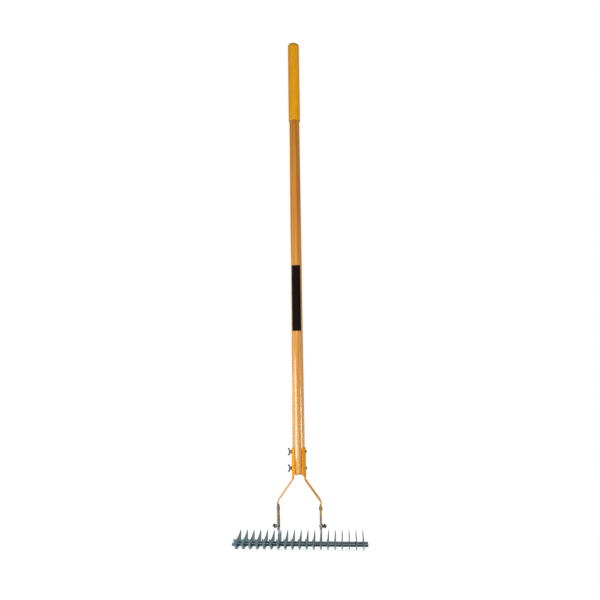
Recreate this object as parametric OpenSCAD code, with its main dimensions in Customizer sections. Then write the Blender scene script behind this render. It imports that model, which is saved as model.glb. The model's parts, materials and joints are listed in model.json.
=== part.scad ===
// Thatch rake with a double-ended blade head that tilts between two straps.
// Millimetres. +Z runs up the handle, the bar of blades lies along X, the ground is z = 0.

/* [Handle] */
// Diameter of the wooden handle at its lower end
handle_d = 36; // [32:0.5:40]
// Diameter of the wooden handle under the grip
handle_top_d = 32; // [28:0.5:36]
// Length of the wooden handle
handle_len = 1357.6; // [1200:0.1:1600]
// Height of the handle's lower end above the ground
handle_h = 202; // [190:1:230]
// Chamfer round the handle's ends
handle_chamfer = 1.2; // [0.4:0.1:2]

/* [Grip] */
// Length of the cushion grip, over its closed end
grip_len = 275; // [200:1:340]
// Wall of the grip
grip_wall = 2.5; // [1.5:0.1:4]
// Thickness of the grip's closed end
grip_end = 10; // [9:0.5:14]
// Rounding of the grip's closed end
grip_round = 15; // [10:0.5:15.5]
// Rounding of the grip's open end
grip_lip = 1.4; // [0.4:0.1:1.4]
// Clearance between the grip and the wood
grip_fit = 0.05; // [0.02:0.01:0.2]

/* [Label] */
// Length of the label
label_len = 201; // [120:1:260]
// Height of the label's lower edge above the handle's lower end
label_rise = 411; // [300:1:500]
// Angle that the label covers round the handle
label_angle = 98; // [60:1:150]
// Thickness of the label
label_t = 0.3; // [0.2:0.05:0.5]
// Clearance between the label and the wood
label_fit = 0.06; // [0.03:0.01:0.1]

/* [Straps] */
// Thickness of the strap steel
strap_t = 2.5; // [2:0.1:3.2]
// Width of the flat part of a strap
strap_w = 25.4; // [22:0.1:30]
// Length of the half shell that holds the handle
shell_len = 74; // [66:1:90]
// Angle that each half shell covers
shell_angle = 114; // [90:1:140]
// Clearance between a shell and the wood
shell_fit = 0.1; // [0.05:0.01:0.2]
// Drop from the handle's end to the upper bend's corner
bend_drop = 14.6; // [13:0.1:20]
// Straight length above the upper bend
strap_land = 2; // [1:0.5:3]
// Share of the shell's curl that the slanted part keeps
slant_curl = 0.55; // [0.2:0.05:0.7]
// Inner radius of the upper bend
upper_bend_r = 8; // [5:0.5:12]
// Rise from the pivot to the lower bend's corner
shoulder_rise = 22; // [20:0.5:30]
// Inner radius of the lower bend
lower_bend_r = 24; // [15:0.5:32]
// Strap length below the lock bolt
strap_tail = 11; // [9:0.1:14]
// Corner radius at the strap's lower end
strap_corner = 7; // [3:0.5:10]

/* [Bolts and wing nuts] */
// Diameter of all bolts
bolt_d = 5; // [4:0.1:5.5]
// Radial clearance of a bolt in its hole or nut
bolt_fit = 0.05; // [0.03:0.01:0.1]
// Width of a round bolt head
head_d = 10.5; // [9:0.1:12]
// Height of a round bolt head
head_h = 2.8; // [2:0.1:3.5]
// Height of the lower handle bolt above the handle's lower end
bolt_rise = 16.4; // [13:0.1:20]
// Distance between the two handle bolts
bolt_gap = 45.8; // [38:0.1:48]
// Chamfer at the end of a bolt
bolt_chamfer = 0.5; // [0.2:0.1:0.8]
// Length of a lock bolt that shows beyond its nut's wings
lock_bolt_tip = 2.2; // [1.8:0.1:3]
// Length of a handle bolt that shows beyond its nut's hub
handle_bolt_tip = 1.6; // [1.6:0.1:3]
// Outer diameter of a washer
washer_d = 11; // [10:0.1:13]
// Thickness of a washer
washer_t = 1; // [0.6:0.1:1.2]
// Distance across the tips of a wing nut
wing_span = 21.6; // [19:0.1:24]
// Height of a wing nut
wing_h = 10; // [8.5:0.1:10.5]
// Thickness of a wing
wing_t = 2.2; // [1.5:0.1:3]
// Radius of a wing's tip
wing_tip_r = 2.6; // [2:0.1:3.2]
// Half width of a wing where it leaves the hub
wing_root_w = 2; // [1.5:0.1:2.4]
// Diameter of a wing nut's foot
hub_d = 9.6; // [8.5:0.1:10.5]
// Diameter of a wing nut's top
hub_top_d = 7.6; // [7:0.1:8.4]
// Height of a wing nut's hub
hub_h = 5.4; // [4.5:0.1:6.5]
// Turn of the lock nuts about their bolts, from wings upright
lock_nut_turn = 48; // [0:1:90]
// Gap at a face where one piece seats on another
seat_gap = 0.05; // [0.02:0.01:0.1]

/* [Head] */
// Blades on each side of the middle one
blades_each_side = 9; // [5:1:12]
// Distance from blade to blade
blade_pitch = 19.75; // [18.5:0.05:21]
// Thickness of a blade
blade_t = 2.5; // [2:0.1:3]
// Width of a blade from tip to tip
blade_span = 106; // [96:1:116]
// Height of the blade tips above the ground
tip_h = 40; // [36:0.5:44]
// Height of a blade at its middle
blade_web = 27.6; // [25:0.1:30]
// Width cut off each sharp tip
tip_blunt = 0.6; // [0.3:0.1:1.5]
// Radius of the heel below a blade's upright rear edge
heel_r = 20; // [12:0.5:24]
// Diameter of the two rods
rod_d = 7.9; // [6:0.1:8]
// Distance between the two rods
rod_gap = 23.5; // [20:0.5:32]
// Height of the rods above the ground
rod_h = 14; // [12.5:0.1:15]
// Length of rod beyond the last blade
rod_overhang = 11.5; // [8:0.05:16]
// Chamfer at the rod ends
rod_chamfer = 0.6; // [0.3:0.1:1]
// Radial clearance of a rod in a blade
rod_fit = 0.05; // [0.02:0.01:0.1]

/* [Tilt] */
// Height of the pivot rivets above the ground
pivot_h = 108; // [104:0.5:112]
// Distance from the pivot down to the lock bolt
lock_drop = 46.6; // [42:0.1:50]
// Tilt of the head to each side
tilt = 20; // [12:1:22]
// Diameter of a rivet's shank
rivet_d = 6; // [5:0.1:7]
// Radial clearance of a rivet in its holes
rivet_fit = 0.05; // [0.03:0.01:0.1]
// Diameter of a rivet's heads
rivet_head_d = 13.4; // [11:0.1:15]
// Height of a rivet's heads
rivet_head_h = 2.4; // [1.8:0.1:3]
// Gap between a carrier arm and its strap
arm_gap = 0.1; // [0.05:0.01:0.2]
// Radius of an arm round its rivet
arm_round = 12; // [10:0.5:14]
// Half width of an arm beside its rivet
arm_shoulder = 9; // [7:0.5:9.5]
// Width of an arm where it joins the blade
arm_neck = 28; // [24:0.5:32]
// Metal round the slot of an arm
slot_rim = 4; // [3:0.5:6]
// Clearance of a lock bolt's neck in the slot, each side
slot_fit = 0.25; // [0.15:0.01:0.4]
// Extra radius at the slot's ends
slot_relief = 0.2; // [0.1:0.05:0.4]

/* [Hidden] */
$fn = 64;
// Number of flats across a strap
shell_flats = 16;
// Number of steps from the half shell to the slanted part
shell_steps = 8;
// Number of steps round a bend
bend_steps = 6;
// Number of steps round a lower corner
corner_steps = 5;
// Steps from the middle blade to a carrier blade
carrier_steps = 3;
// Extra length of a cutting tool
over = 1;
// Segments of the large arcs of a blade
arc_flats = 180;

handle_r = handle_d / 2;
handle_top_r = handle_top_d / 2;
handle_top_z = handle_h + handle_len;
grip_in_r = handle_top_r + grip_fit;
grip_r = grip_in_r + grip_wall;
grip_bottom = handle_top_z + grip_fit + grip_end - grip_len;
taper_bottom = handle_h + shell_len;
label_z = [handle_h + label_rise, handle_h + label_rise + label_len];

// Strap faces, measured from the middle of the rake
shell_in_r = handle_r + shell_fit;
shell_out_r = shell_in_r + strap_t;
carrier_x = carrier_steps * blade_pitch;
arm_in_x = carrier_x - blade_t / 2;
strap_in_x = carrier_x + blade_t / 2 + arm_gap;
strap_out_x = strap_in_x + strap_t;

// Strap bends: the two corners of its inner face, and the bends that round them
upper_corner_z = handle_h - bend_drop;
lower_corner_z = pivot_h + shoulder_rise;
bend_angle = atan((strap_in_x - shell_in_r) / (upper_corner_z - lower_corner_z));
upper_face_r = upper_bend_r + strap_t;
upper_tangent = upper_face_r * tan(bend_angle / 2);
lower_tangent = lower_bend_r * tan(bend_angle / 2);
upper_bend_z = upper_corner_z + upper_tangent;
lower_bend_z = lower_corner_z - lower_tangent;
shell_half_w = shell_in_r * (shell_angle / 2) * PI / 180;
shell_step = (handle_h - upper_bend_z - strap_land) / shell_steps;

lock_z = pivot_h - lock_drop;
strap_end_z = lock_z - strap_tail;
bolt_hole_d = bolt_d + 2 * bolt_fit;
rivet_hole_d = rivet_d + 2 * rivet_fit;
handle_bolt_z = [handle_h + bolt_rise, handle_h + bolt_rise + bolt_gap];

// Distances from the face that a washer seats on to its wing nut, and to the end of its bolt
nut_seat = seat_gap + washer_t + seat_gap;
lock_bolt_end = nut_seat + wing_h + lock_bolt_tip;
handle_bolt_end = nut_seat + hub_h + handle_bolt_tip;

// Head
blade_count = 2 * blades_each_side + 1;
rod_len = 2 * (blades_each_side * blade_pitch + blade_t / 2 + rod_overhang);
half_span = blade_span / 2;
blade_reach = half_span - tip_blunt;
belly_r = (half_span * half_span + tip_h * tip_h) / (2 * tip_h);
hollow = tip_h - blade_web;
hollow_r = (half_span * half_span + hollow * hollow) / (2 * hollow);
slot_w = bolt_d + 2 * slot_fit;
slot_end_r = slot_w / 2 + slot_rim;
// Angle to the centre of the slot's round end, past the corners of the square neck at full tilt
slot_reach = tilt + asin(bolt_d / (2 * lock_drop - bolt_d));

WOOD = [0.87, 0.65, 0.38];
YELLOW = [0.95, 0.62, 0.08];
BLACK = [0.06, 0.06, 0.06];
ZINC = [0.58, 0.64, 0.66];
DARK_STEEL = [0.30, 0.32, 0.33];

function blade_name(i) = str("blade_", i < 10 ? "0" : "", i);
function blade_x(i) = (i - blades_each_side - 1) * blade_pitch;
function is_carrier(i) = abs(i - blades_each_side - 1) == carrier_steps;
function ease(s) = s * s * (3 - 2 * s);

// Radius of the wood at a height on its taper, between the shells and the grip
function wood_r(z) =
    let (share = (z - taper_bottom) / (grip_bottom - taper_bottom))
    handle_r + (handle_top_r - handle_r) * share;

// Mirrors a piece of the right-hand side to the left
module on_left() {
    mirror([1, 0, 0]) children();
}

// Turns a piece that stands along Z so that it points along +X from a point on the X axis
module along_x(x, z) {
    translate([x, 0, z]) rotate([0, 90, 0]) children();
}

// A rod or pole along Z with chamfered ends
module chamfered_rod(d, length, chamfer) {
    rotate_extrude()
        polygon([
            [0, 0], [d / 2 - chamfer, 0], [d / 2, chamfer],
            [d / 2, length - chamfer], [d / 2 - chamfer, length], [0, length]
        ]);
}

// A spherical cap that stands on z = 0
module dome(d, h) {
    ball_r = (d * d / 4 + h * h) / (2 * h);
    intersection() {
        translate([0, 0, h - ball_r]) sphere(ball_r);
        cylinder(d = d + over, h = h + over);
    }
}

module handle() {
    color(WOOD)
    difference() {
        rotate_extrude()
            polygon([
                [0, handle_h], [handle_r - handle_chamfer, handle_h],
                [handle_r, handle_h + handle_chamfer], [handle_r, taper_bottom],
                [handle_top_r, grip_bottom], [handle_top_r, handle_top_z - handle_chamfer],
                [handle_top_r - handle_chamfer, handle_top_z], [0, handle_top_z]
            ]);
        for (z = handle_bolt_z)
            along_x(-handle_r - over, z) cylinder(d = bolt_hole_d, h = handle_d + 2 * over);
    }
}

module grip_outline() {
    square([grip_r - grip_round, grip_len]);
    translate([0, grip_lip]) square([grip_r, grip_len - grip_round - grip_lip]);
    square([grip_r - grip_lip, grip_len / 2]);
    translate([grip_r - grip_round, grip_len - grip_round])
        intersection() {
            circle(grip_round);
            square(grip_round);
        }
    translate([grip_r - grip_lip, grip_lip]) circle(grip_lip);
}

module grip() {
    color(YELLOW)
    translate([0, 0, grip_bottom])
    difference() {
        rotate_extrude() grip_outline();
        translate([0, 0, -over]) cylinder(r = grip_in_r, h = grip_len - grip_end + over);
    }
}

module label() {
    faces = [for (z = label_z) wood_r(z) + label_fit];
    color(BLACK)
    rotate([0, 0, -90 - label_angle / 2])
    rotate_extrude(angle = label_angle)
        polygon([
            [faces[0], label_z[0]], [faces[0] + label_t, label_z[0]],
            [faces[1] + label_t, label_z[1]], [faces[1], label_z[1]]
        ]);
}

// Rows of the strap's sheet from top to bottom, each with its share of the shell's curl, its half
// width, the place of its inner face and its slope
shell_rows = [
    for (k = [0 : shell_steps])
        let (s = ease(k / shell_steps))
        let (half_w = shell_half_w + s * (strap_w / 2 - shell_half_w))
        [1 - s * (1 - slant_curl), half_w, shell_in_r, handle_h - k * shell_step, 0]
];
upper_bend_rows = [
    for (k = [0 : bend_steps])
        let (a = bend_angle * k / bend_steps)
        let (x = shell_in_r + upper_face_r * (1 - cos(a)))
        [slant_curl, strap_w / 2, x, upper_bend_z - upper_face_r * sin(a), a]
];
lower_bend_rows = [
    for (k = [bend_steps : -1 : 0])
        let (a = bend_angle * k / bend_steps)
        let (x = strap_in_x - lower_bend_r * (1 - cos(a)))
        [slant_curl * ease(k / bend_steps), strap_w / 2, x, lower_bend_z + lower_bend_r * sin(a), a]
];
tail_rows = [
    for (k = [0 : corner_steps])
        let (a = 90 * k / corner_steps)
        let (half_w = strap_w / 2 - strap_corner * (1 - cos(a)))
        [0, half_w, strap_in_x, strap_end_z + strap_corner * (1 - sin(a)), 0]
];
strap_rows = concat(
    [[1, shell_half_w, shell_in_r, handle_h + shell_len, 0]],
    shell_rows, upper_bend_rows, lower_bend_rows, tail_rows
);

// The points of one row, on the face that lies face millimetres outside the inner one
function sheet_points(row, face) = [
    for (j = [0 : shell_flats])
        let (
            u = row[1] * (2 * j / shell_flats - 1),
            bend = row[0] / shell_in_r,
            a = u * bend * 180 / PI,
            out = face * cos(a) - (bend > 0 ? (1 - cos(a)) / bend : 0),
            across = face * sin(a) + (bend > 0 ? sin(a) / bend : u)
        )
        [row[2] + out * cos(row[4]), across, row[3] + out * sin(row[4])]
];

// The bent sheet of a strap, without its holes
module strap_sheet() {
    inner = [for (row = strap_rows) each sheet_points(row, 0)];
    outer = [for (row = strap_rows) each sheet_points(row, strap_t)];
    n = shell_flats + 1;
    m = len(inner);
    last = len(strap_rows) - 1;
    inner_faces = [
        for (r = [0 : last - 1], j = [0 : shell_flats - 1])
            let (p = r * n + j) each [[p, p + n + 1, p + 1], [p, p + n, p + n + 1]]
    ];
    outer_faces = [for (f = inner_faces) [f[2] + m, f[1] + m, f[0] + m]];
    side_quads = [
        for (r = [0 : last - 1])
            let (p = r * n, q = p + shell_flats)
            each [[p + m, p + n + m, p + n, p], [q, q + n, q + n + m, q + m]]
    ];
    end_quads = [
        for (j = [0 : shell_flats - 1])
            let (q = last * n + j)
            each [[j + 1, j + m + 1, j + m, j], [q, q + m, q + m + 1, q + 1]]
    ];
    rim_faces = [
        for (f = concat(side_quads, end_quads)) each [[f[0], f[1], f[2]], [f[0], f[2], f[3]]]
    ];
    polyhedron(concat(inner, outer), concat(inner_faces, outer_faces, rim_faces));
}

// Stands an outline drawn in Y and Z up across the X axis
module plate(x, thickness) {
    translate([x, 0, 0]) rotate([90, 0, 90]) linear_extrude(thickness) children();
}

module right_strap() {
    color(YELLOW)
    difference() {
        strap_sheet();
        for (z = handle_bolt_z) along_x(0, z) cylinder(d = bolt_hole_d, h = shell_out_r + over);
        along_x(strap_in_x - over, pivot_h) cylinder(d = rivet_hole_d, h = strap_t + 2 * over);
        along_x(strap_in_x - over, lock_z) cylinder(d = bolt_hole_d, h = strap_t + 2 * over);
    }
}

module left_strap() {
    on_left() right_strap();
}

// A round-head bolt along the X axis, with its head on the right and its nut on the left
module handle_bolt(z) {
    color(DARK_STEEL) {
        along_x(shell_out_r + seat_gap, z) dome(head_d, head_h);
        along_x(-shell_out_r - handle_bolt_end, z)
            chamfered_rod(bolt_d, 2 * shell_out_r + handle_bolt_end + seat_gap, bolt_chamfer);
    }
}

module upper_handle_bolt() {
    handle_bolt(handle_bolt_z[1]);
}

module lower_handle_bolt() {
    handle_bolt(handle_bolt_z[0]);
}

// A washer that seats on a face at the distance x, on the right-hand side
module washer(x, z) {
    color(ZINC)
    along_x(x + seat_gap, z)
    difference() {
        cylinder(d = washer_d, h = washer_t);
        translate([0, 0, -over]) cylinder(d = bolt_hole_d, h = washer_t + 2 * over);
    }
}

module upper_handle_washer() {
    on_left() washer(shell_out_r, handle_bolt_z[1]);
}

module lower_handle_washer() {
    on_left() washer(shell_out_r, handle_bolt_z[0]);
}

// One wing that starts inside its hub, drawn with the hub's axis along the second direction
module wing_outline() {
    tip = [wing_span / 2 - wing_tip_r, wing_h - wing_tip_r];
    root = [hub_top_d / 4, hub_h / 2];
    lean = atan2(tip[1] - root[1], tip[0] - root[0]);
    across = [-sin(lean), cos(lean)];
    polygon([
        root - wing_root_w * across, tip - wing_tip_r * across,
        tip + wing_tip_r * across, root + wing_root_w * across
    ]);
    translate(tip) circle(wing_tip_r);
}

// A wing nut that stands on a washer, on the right-hand side
module wing_nut(x, z, turn) {
    color(DARK_STEEL)
    along_x(x + nut_seat, z)
    rotate([0, 0, turn])
    difference() {
        union() {
            cylinder(d1 = hub_d, d2 = hub_top_d, h = hub_h);
            intersection() {
                for (side = [0, 180])
                    rotate([0, 0, side])
                    translate([0, wing_t / 2, 0])
                    rotate([90, 0, 0])
                    linear_extrude(wing_t) wing_outline();
                translate([0, 0, wing_h / 2]) cube([2 * wing_span, 2 * wing_t, wing_h], center = true);
            }
        }
        translate([0, 0, -over]) cylinder(d = bolt_hole_d, h = wing_h + 2 * over);
    }
}

module upper_handle_wing_nut() {
    on_left() wing_nut(shell_out_r, handle_bolt_z[1], 0);
}

module lower_handle_wing_nut() {
    on_left() wing_nut(shell_out_r, handle_bolt_z[0], 0);
}

module right_pivot_rivet() {
    inner_face = arm_in_x - seat_gap;
    outer_face = strap_out_x + seat_gap;
    color(DARK_STEEL) {
        along_x(inner_face, pivot_h) cylinder(d = rivet_d, h = outer_face - inner_face);
        along_x(inner_face, pivot_h) mirror([0, 0, 1]) dome(rivet_head_d, rivet_head_h);
        along_x(outer_face, pivot_h) dome(rivet_head_d, rivet_head_h);
    }
}

module left_pivot_rivet() {
    on_left() right_pivot_rivet();
}

// A carriage bolt: its square neck sits in the arm's slot and its head lies inside the arm
module right_lock_bolt() {
    inner_face = arm_in_x - seat_gap;
    color(DARK_STEEL) {
        along_x(inner_face, lock_z) mirror([0, 0, 1]) dome(head_d, head_h);
        translate([inner_face, -bolt_d / 2, lock_z - bolt_d / 2])
            cube([blade_t + seat_gap, bolt_d, bolt_d]);
        along_x(inner_face, lock_z)
            chamfered_rod(bolt_d, strap_out_x + lock_bolt_end - inner_face, bolt_chamfer);
    }
}

module left_lock_bolt() {
    on_left() right_lock_bolt();
}

module right_lock_washer() {
    washer(strap_out_x, lock_z);
}

module left_lock_washer() {
    on_left() right_lock_washer();
}

module right_lock_wing_nut() {
    wing_nut(strap_out_x, lock_z, lock_nut_turn);
}

module left_lock_wing_nut() {
    on_left() right_lock_wing_nut();
}

// A rod along X through all the blades
module head_rod(y) {
    color(DARK_STEEL)
    translate([-rod_len / 2, y, rod_h]) rotate([0, 90, 0]) chamfered_rod(rod_d, rod_len, rod_chamfer);
}

module front_rod() {
    head_rod(-rod_gap / 2);
}

module rear_rod() {
    head_rod(rod_gap / 2);
}

// The crescent, drawn in Y and Z: a round belly in front, and a heel and an upright edge at the rear
module crescent() {
    difference() {
        union() {
            intersection() {
                translate([0, belly_r]) circle(belly_r, $fn = arc_flats);
                translate([-blade_reach, 0]) square([blade_reach, belly_r]);
            }
            square([blade_reach - heel_r, belly_r]);
            translate([blade_reach - heel_r, heel_r]) circle(heel_r);
            translate([blade_reach - heel_r, heel_r]) square([heel_r, belly_r - heel_r]);
        }
        translate([0, blade_web + hollow_r]) circle(hollow_r, $fn = arc_flats);
    }
}

// The quadrant plate of a carrier blade below its rivet, drawn in Y and Z
module arm_outline() {
    end_y = lock_drop * sin(slot_reach);
    end_z = pivot_h - lock_drop * cos(slot_reach);
    side_y = end_y + slot_end_r;
    neck_y = arm_neck / 2;
    neck_z = lock_z - slot_end_r;
    foot_z = blade_web / 2;
    right_side = [
        [arm_shoulder, pivot_h], [side_y, end_z], [side_y, end_z - slot_w / 2],
        [neck_y, neck_z], [neck_y, foot_z]
    ];
    left_side = [for (k = [len(right_side) - 1 : -1 : 0]) [-right_side[k][0], right_side[k][1]]];
    polygon(concat(right_side, left_side));
}

// Cuts the slot that the lock bolt slides in, and the hole for the rivet
module arm_cuts() {
    translate([0, 0, pivot_h]) rotate([90, 0, 90]) {
        cylinder(d = rivet_hole_d, h = blade_t + 2 * over, center = true);
        rotate([0, 0, -90 - slot_reach])
            rotate_extrude(angle = 2 * slot_reach)
            translate([lock_drop - slot_w / 2, -blade_t / 2 - over])
            square([slot_w, blade_t + 2 * over]);
        for (a = [-slot_reach, slot_reach])
            rotate([0, 0, a - 90])
            translate([lock_drop, 0, 0])
            cylinder(d = slot_w + 2 * slot_relief, h = blade_t + 2 * over, center = true);
    }
}

module blade(i) {
    color(ZINC)
    difference() {
        union() {
            plate(blade_x(i) - blade_t / 2, blade_t) crescent();
            if (is_carrier(i)) {
                plate(blade_x(i) - blade_t / 2, blade_t) arm_outline();
                along_x(blade_x(i) - blade_t / 2, pivot_h) cylinder(r = arm_round, h = blade_t);
            }
        }
        for (y = [-1, 1])
            along_x(blade_x(i) - blade_t / 2 - over, rod_h)
            translate([0, y * rod_gap / 2, 0])
            cylinder(d = rod_d + 2 * rod_fit, h = blade_t + 2 * over);
        if (is_carrier(i)) translate([blade_x(i), 0, 0]) arm_cuts();
    }
}

handle();
grip();
label();
left_strap();
right_strap();
upper_handle_bolt();
lower_handle_bolt();
upper_handle_washer();
lower_handle_washer();
upper_handle_wing_nut();
lower_handle_wing_nut();
left_pivot_rivet();
right_pivot_rivet();
left_lock_bolt();
right_lock_bolt();
left_lock_washer();
right_lock_washer();
left_lock_wing_nut();
right_lock_wing_nut();
front_rod();
rear_rod();
for (i = [1 : blade_count]) blade(i);
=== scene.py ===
"""Looks of a thatch rake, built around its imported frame.

Metres. +Z runs up the handle, the blades lie side by side along X and the ground is z = 0.
"""
import json
import math

import bmesh
import bpy
from mathutils import Euler, Matrix, Vector

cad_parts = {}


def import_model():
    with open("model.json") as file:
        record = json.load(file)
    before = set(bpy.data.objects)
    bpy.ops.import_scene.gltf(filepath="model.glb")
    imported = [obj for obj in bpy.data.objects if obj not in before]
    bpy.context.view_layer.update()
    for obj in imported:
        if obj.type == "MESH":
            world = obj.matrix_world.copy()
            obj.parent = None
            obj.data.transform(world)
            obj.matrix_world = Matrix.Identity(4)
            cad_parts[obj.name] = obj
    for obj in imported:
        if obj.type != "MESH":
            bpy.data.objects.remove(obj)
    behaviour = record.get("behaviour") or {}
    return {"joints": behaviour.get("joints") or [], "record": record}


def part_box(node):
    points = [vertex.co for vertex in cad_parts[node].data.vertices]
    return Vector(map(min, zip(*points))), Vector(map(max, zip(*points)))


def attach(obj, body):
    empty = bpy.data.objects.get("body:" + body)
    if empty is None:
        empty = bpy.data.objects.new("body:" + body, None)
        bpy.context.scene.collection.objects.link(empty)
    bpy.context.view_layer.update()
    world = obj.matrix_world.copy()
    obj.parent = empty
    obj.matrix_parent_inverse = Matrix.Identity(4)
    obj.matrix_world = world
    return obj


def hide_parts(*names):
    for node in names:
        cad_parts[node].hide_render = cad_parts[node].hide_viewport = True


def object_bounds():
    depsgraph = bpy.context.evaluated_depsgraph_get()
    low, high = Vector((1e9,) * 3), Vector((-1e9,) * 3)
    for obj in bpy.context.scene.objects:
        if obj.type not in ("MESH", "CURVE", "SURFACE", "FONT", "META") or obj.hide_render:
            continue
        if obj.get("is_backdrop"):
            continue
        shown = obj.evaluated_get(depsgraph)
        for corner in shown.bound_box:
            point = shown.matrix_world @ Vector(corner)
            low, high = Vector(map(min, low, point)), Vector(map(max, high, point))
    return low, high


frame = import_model()
CAD_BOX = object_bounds()

RECORD = frame["record"]
BODY_OF = {node: body for body, nodes in RECORD["behaviour"]["bodies"].items() for node in nodes}
SLOT_OF = {part["node"]: part["material_slot"] for part in RECORD["subparts"]}
JOINTS = {joint["name"]: joint for joint in frame["joints"]}
MM = 0.001

# Camera of the photograph, 600 pixels wide
IMAGE_W = 600
FOCAL_PX = 541.5
SENSOR_MM = 36.0
CAMERA_PLACE = (0.1426, -1.6105, 0.4134)
CAMERA_PITCH = 0.17901
CAMERA_ROLL = 0.02939
CAMERA_YAW = 0.08603

# Handle, grip and label
HANDLE_LOW, HANDLE_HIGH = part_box("handle")
GRIP_LOW, GRIP_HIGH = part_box("grip")
LABEL_LOW, LABEL_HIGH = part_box("label")
HANDLE_R = HANDLE_HIGH.x
HANDLE_TOP_R = 16 * MM
HANDLE_EDGE = 1.5 * MM
GRIP_R = GRIP_HIGH.x
GRIP_ROUND = 15 * MM
GRIP_LIP = 1.4 * MM
GRIP_EDGE = 0.7 * MM
GRIP_LIP_EDGE = 0.28 * MM
GRIP_TAPER = 2.6 * MM
GRIP_END = 10 * MM
GRIP_FIT = 0.05 * MM
GRIP_BEAD = 0.25 * MM
GRIP_BEAD_LEN = 5 * MM
LABEL_ANGLE = math.radians(98)
LABEL_T = 0.3 * MM
LABEL_EDGE = 0.09 * MM
LABEL_FIT = 0.06 * MM
LABEL_CORNER = 3 * MM

# Straps
STRAP_LOW, STRAP_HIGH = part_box("right_strap")
STRAP_T = 2.5 * MM
STRAP_W = 25.4 * MM
STRAP_EDGE = 0.7 * MM
SHELL_ANGLE = math.radians(114)
SHELL_FIT = 0.1 * MM
SHELL_CORNER = 2.5 * MM
BEND_DROP = 14.6 * MM
STRAP_LAND = 2 * MM
SLANT_CURL = 0.55
UPPER_BEND_R = 8 * MM
SHOULDER_RISE = 22 * MM
LOWER_BEND_R = 24 * MM
STRAP_CORNER = 7 * MM

# Bolts, washers, wing nuts and rivets
HANDLE_BOLTS = ("lower_handle_bolt", "upper_handle_bolt")
BOLT_R = 2.5 * MM
BOLT_FIT = 0.05 * MM
THREAD_PITCH = 0.8 * MM
THREAD_DEPTH = 0.42 * MM
THREAD_LEN = 12 * MM
BOLT_TIP = 0.5 * MM
HEAD_D = 10.5 * MM
HEAD_H = 2.8 * MM
DOME_RIM = 0.15
NECK_LEN = 2.5 * MM
NECK_CORNER_R = 3.4 * MM
SEAT_GAP = 0.05 * MM
WASHER_D = 11 * MM
WASHER_T = 1 * MM
WASHER_EDGE = 0.25 * MM
WING_SPAN = 21.6 * MM
WING_H = 10 * MM
WING_T = 2.2 * MM
WING_EDGE = 0.99 * MM
WING_TIP_R = 2.6 * MM
WING_WAIST = 0.45
WAIST_HALF_W = 2.028 * MM
ROOT_HALF_W = 2 * MM
WING_CLEAR = 0.2 * MM
HUB_D = 9.6 * MM
HUB_TOP_D = 7.6 * MM
HUB_H = 5.4 * MM
HUB_EDGE = 0.8 * MM
HUB_FOOT_EDGE = 0.48 * MM
HUB_TOP_BORE_EDGE = 0.32 * MM
HUB_BORE_EDGE = 0.24 * MM
LOCK_NUT_TURN = math.radians(48)
RIVET_R = 3 * MM
RIVET_HEAD_D = 13.4 * MM
RIVET_HEAD_H = 2.4 * MM

# Head
BLADES = sorted(node for node in SLOT_OF if node.startswith("blade_"))
RODS = ("front_rod", "rear_rod")
BLADE_T = 2.5 * MM
BLADE_EDGE = 0.35 * MM
BLADE_SPAN = 106 * MM
TIP_H = 40 * MM
BLADE_WEB = 27.6 * MM
TIP_BLUNT = 0.6 * MM
TIP_T = 0.9 * MM
THIN_FROM_Z = 30 * MM
THIN_FROM_Y = 26 * MM
HEEL_R = 20 * MM
ROD_FIT = 0.05 * MM
ROD_CHAMFER = 0.6 * MM
PIVOT_Z = JOINTS["head_tilt"]["pos_m"][2]
TILT = math.radians(20)
LOCK_DROP = 46.6 * MM
ARM_ROUND = 12 * MM
ARM_SHOULDER = 9 * MM
ARM_NECK = 28 * MM
ARM_FILLET = 3 * MM
NECK_GAP = 1 * MM
SLOT_RIM = 4 * MM
SLOT_FIT = 0.25 * MM

# Fineness of the meshes
SIDES = 64
FINE_SIDES = 96
SLIM_SIDES = 48
ARC_STEPS = 72
EDGE_STEPS = 3
CORNER_STEPS = 6
BEND_STEPS = 16
SHEET_COLUMNS = 24
GRIP_STEPS = 8
DOME_STEPS = 10
THREAD_STEPS = 8
WING_EDGE_STEPS = 5
WING_TIP_STEPS = 16
HOLE_STEPS = 40
ARM_FILLET_STEPS = 5
ARM_TOP_STEPS = 24
SLOT_STEPS = 30
SLOT_END_STEPS = 12
SMOOTH_ANGLE = math.radians(32)

# Limits: a length taken as nothing, a fillet's share of a side, the sharpest mitre, an edge's least share
NOTHING = 1e-7
FILLET_SHARE = 0.49
MITRE_LIMIT = 0.4
LEAST_EDGE = 0.2

# Half a facet of a round cutter, so that none of its edges lies on an edge of what it cuts
HALF_STEP = Matrix.Rotation(math.pi / SIDES, 4, "Z")

# Stands a flat blade up: its X and Y become the rake's Y and Z
STAND = Matrix(((0, 0, 1, 0), (1, 0, 0, 0), (0, 1, 0, 0), (0, 0, 0, 1)))

# What follows from the sizes above
BOLT_BORE = BOLT_R + BOLT_FIT
RIVET_BORE = RIVET_R + BOLT_FIT
SLOT_HALF_W = BOLT_R + SLOT_FIT
SHELL_R = HANDLE_R + SHELL_FIT
SHELL_OUT_R = SHELL_R + STRAP_T
STRAP_OUT_X = STRAP_HIGH.x
STRAP_IN_X = STRAP_OUT_X - STRAP_T
TAPER_LOW = STRAP_HIGH.z
LOCK_Z = PIVOT_Z - LOCK_DROP
UPPER_CORNER_Z = HANDLE_LOW.z - BEND_DROP
LOWER_CORNER_Z = PIVOT_Z + SHOULDER_RISE
SLANT = math.atan((STRAP_IN_X - SHELL_R) / (UPPER_CORNER_Z - LOWER_CORNER_Z))
UPPER_FACE_R = UPPER_BEND_R + STRAP_T
UPPER_BEND_Z = UPPER_CORNER_Z + UPPER_FACE_R * math.tan(SLANT / 2)
LOWER_BEND_Z = LOWER_CORNER_Z - LOWER_BEND_R * math.tan(SLANT / 2)


# Places in the frame

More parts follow.
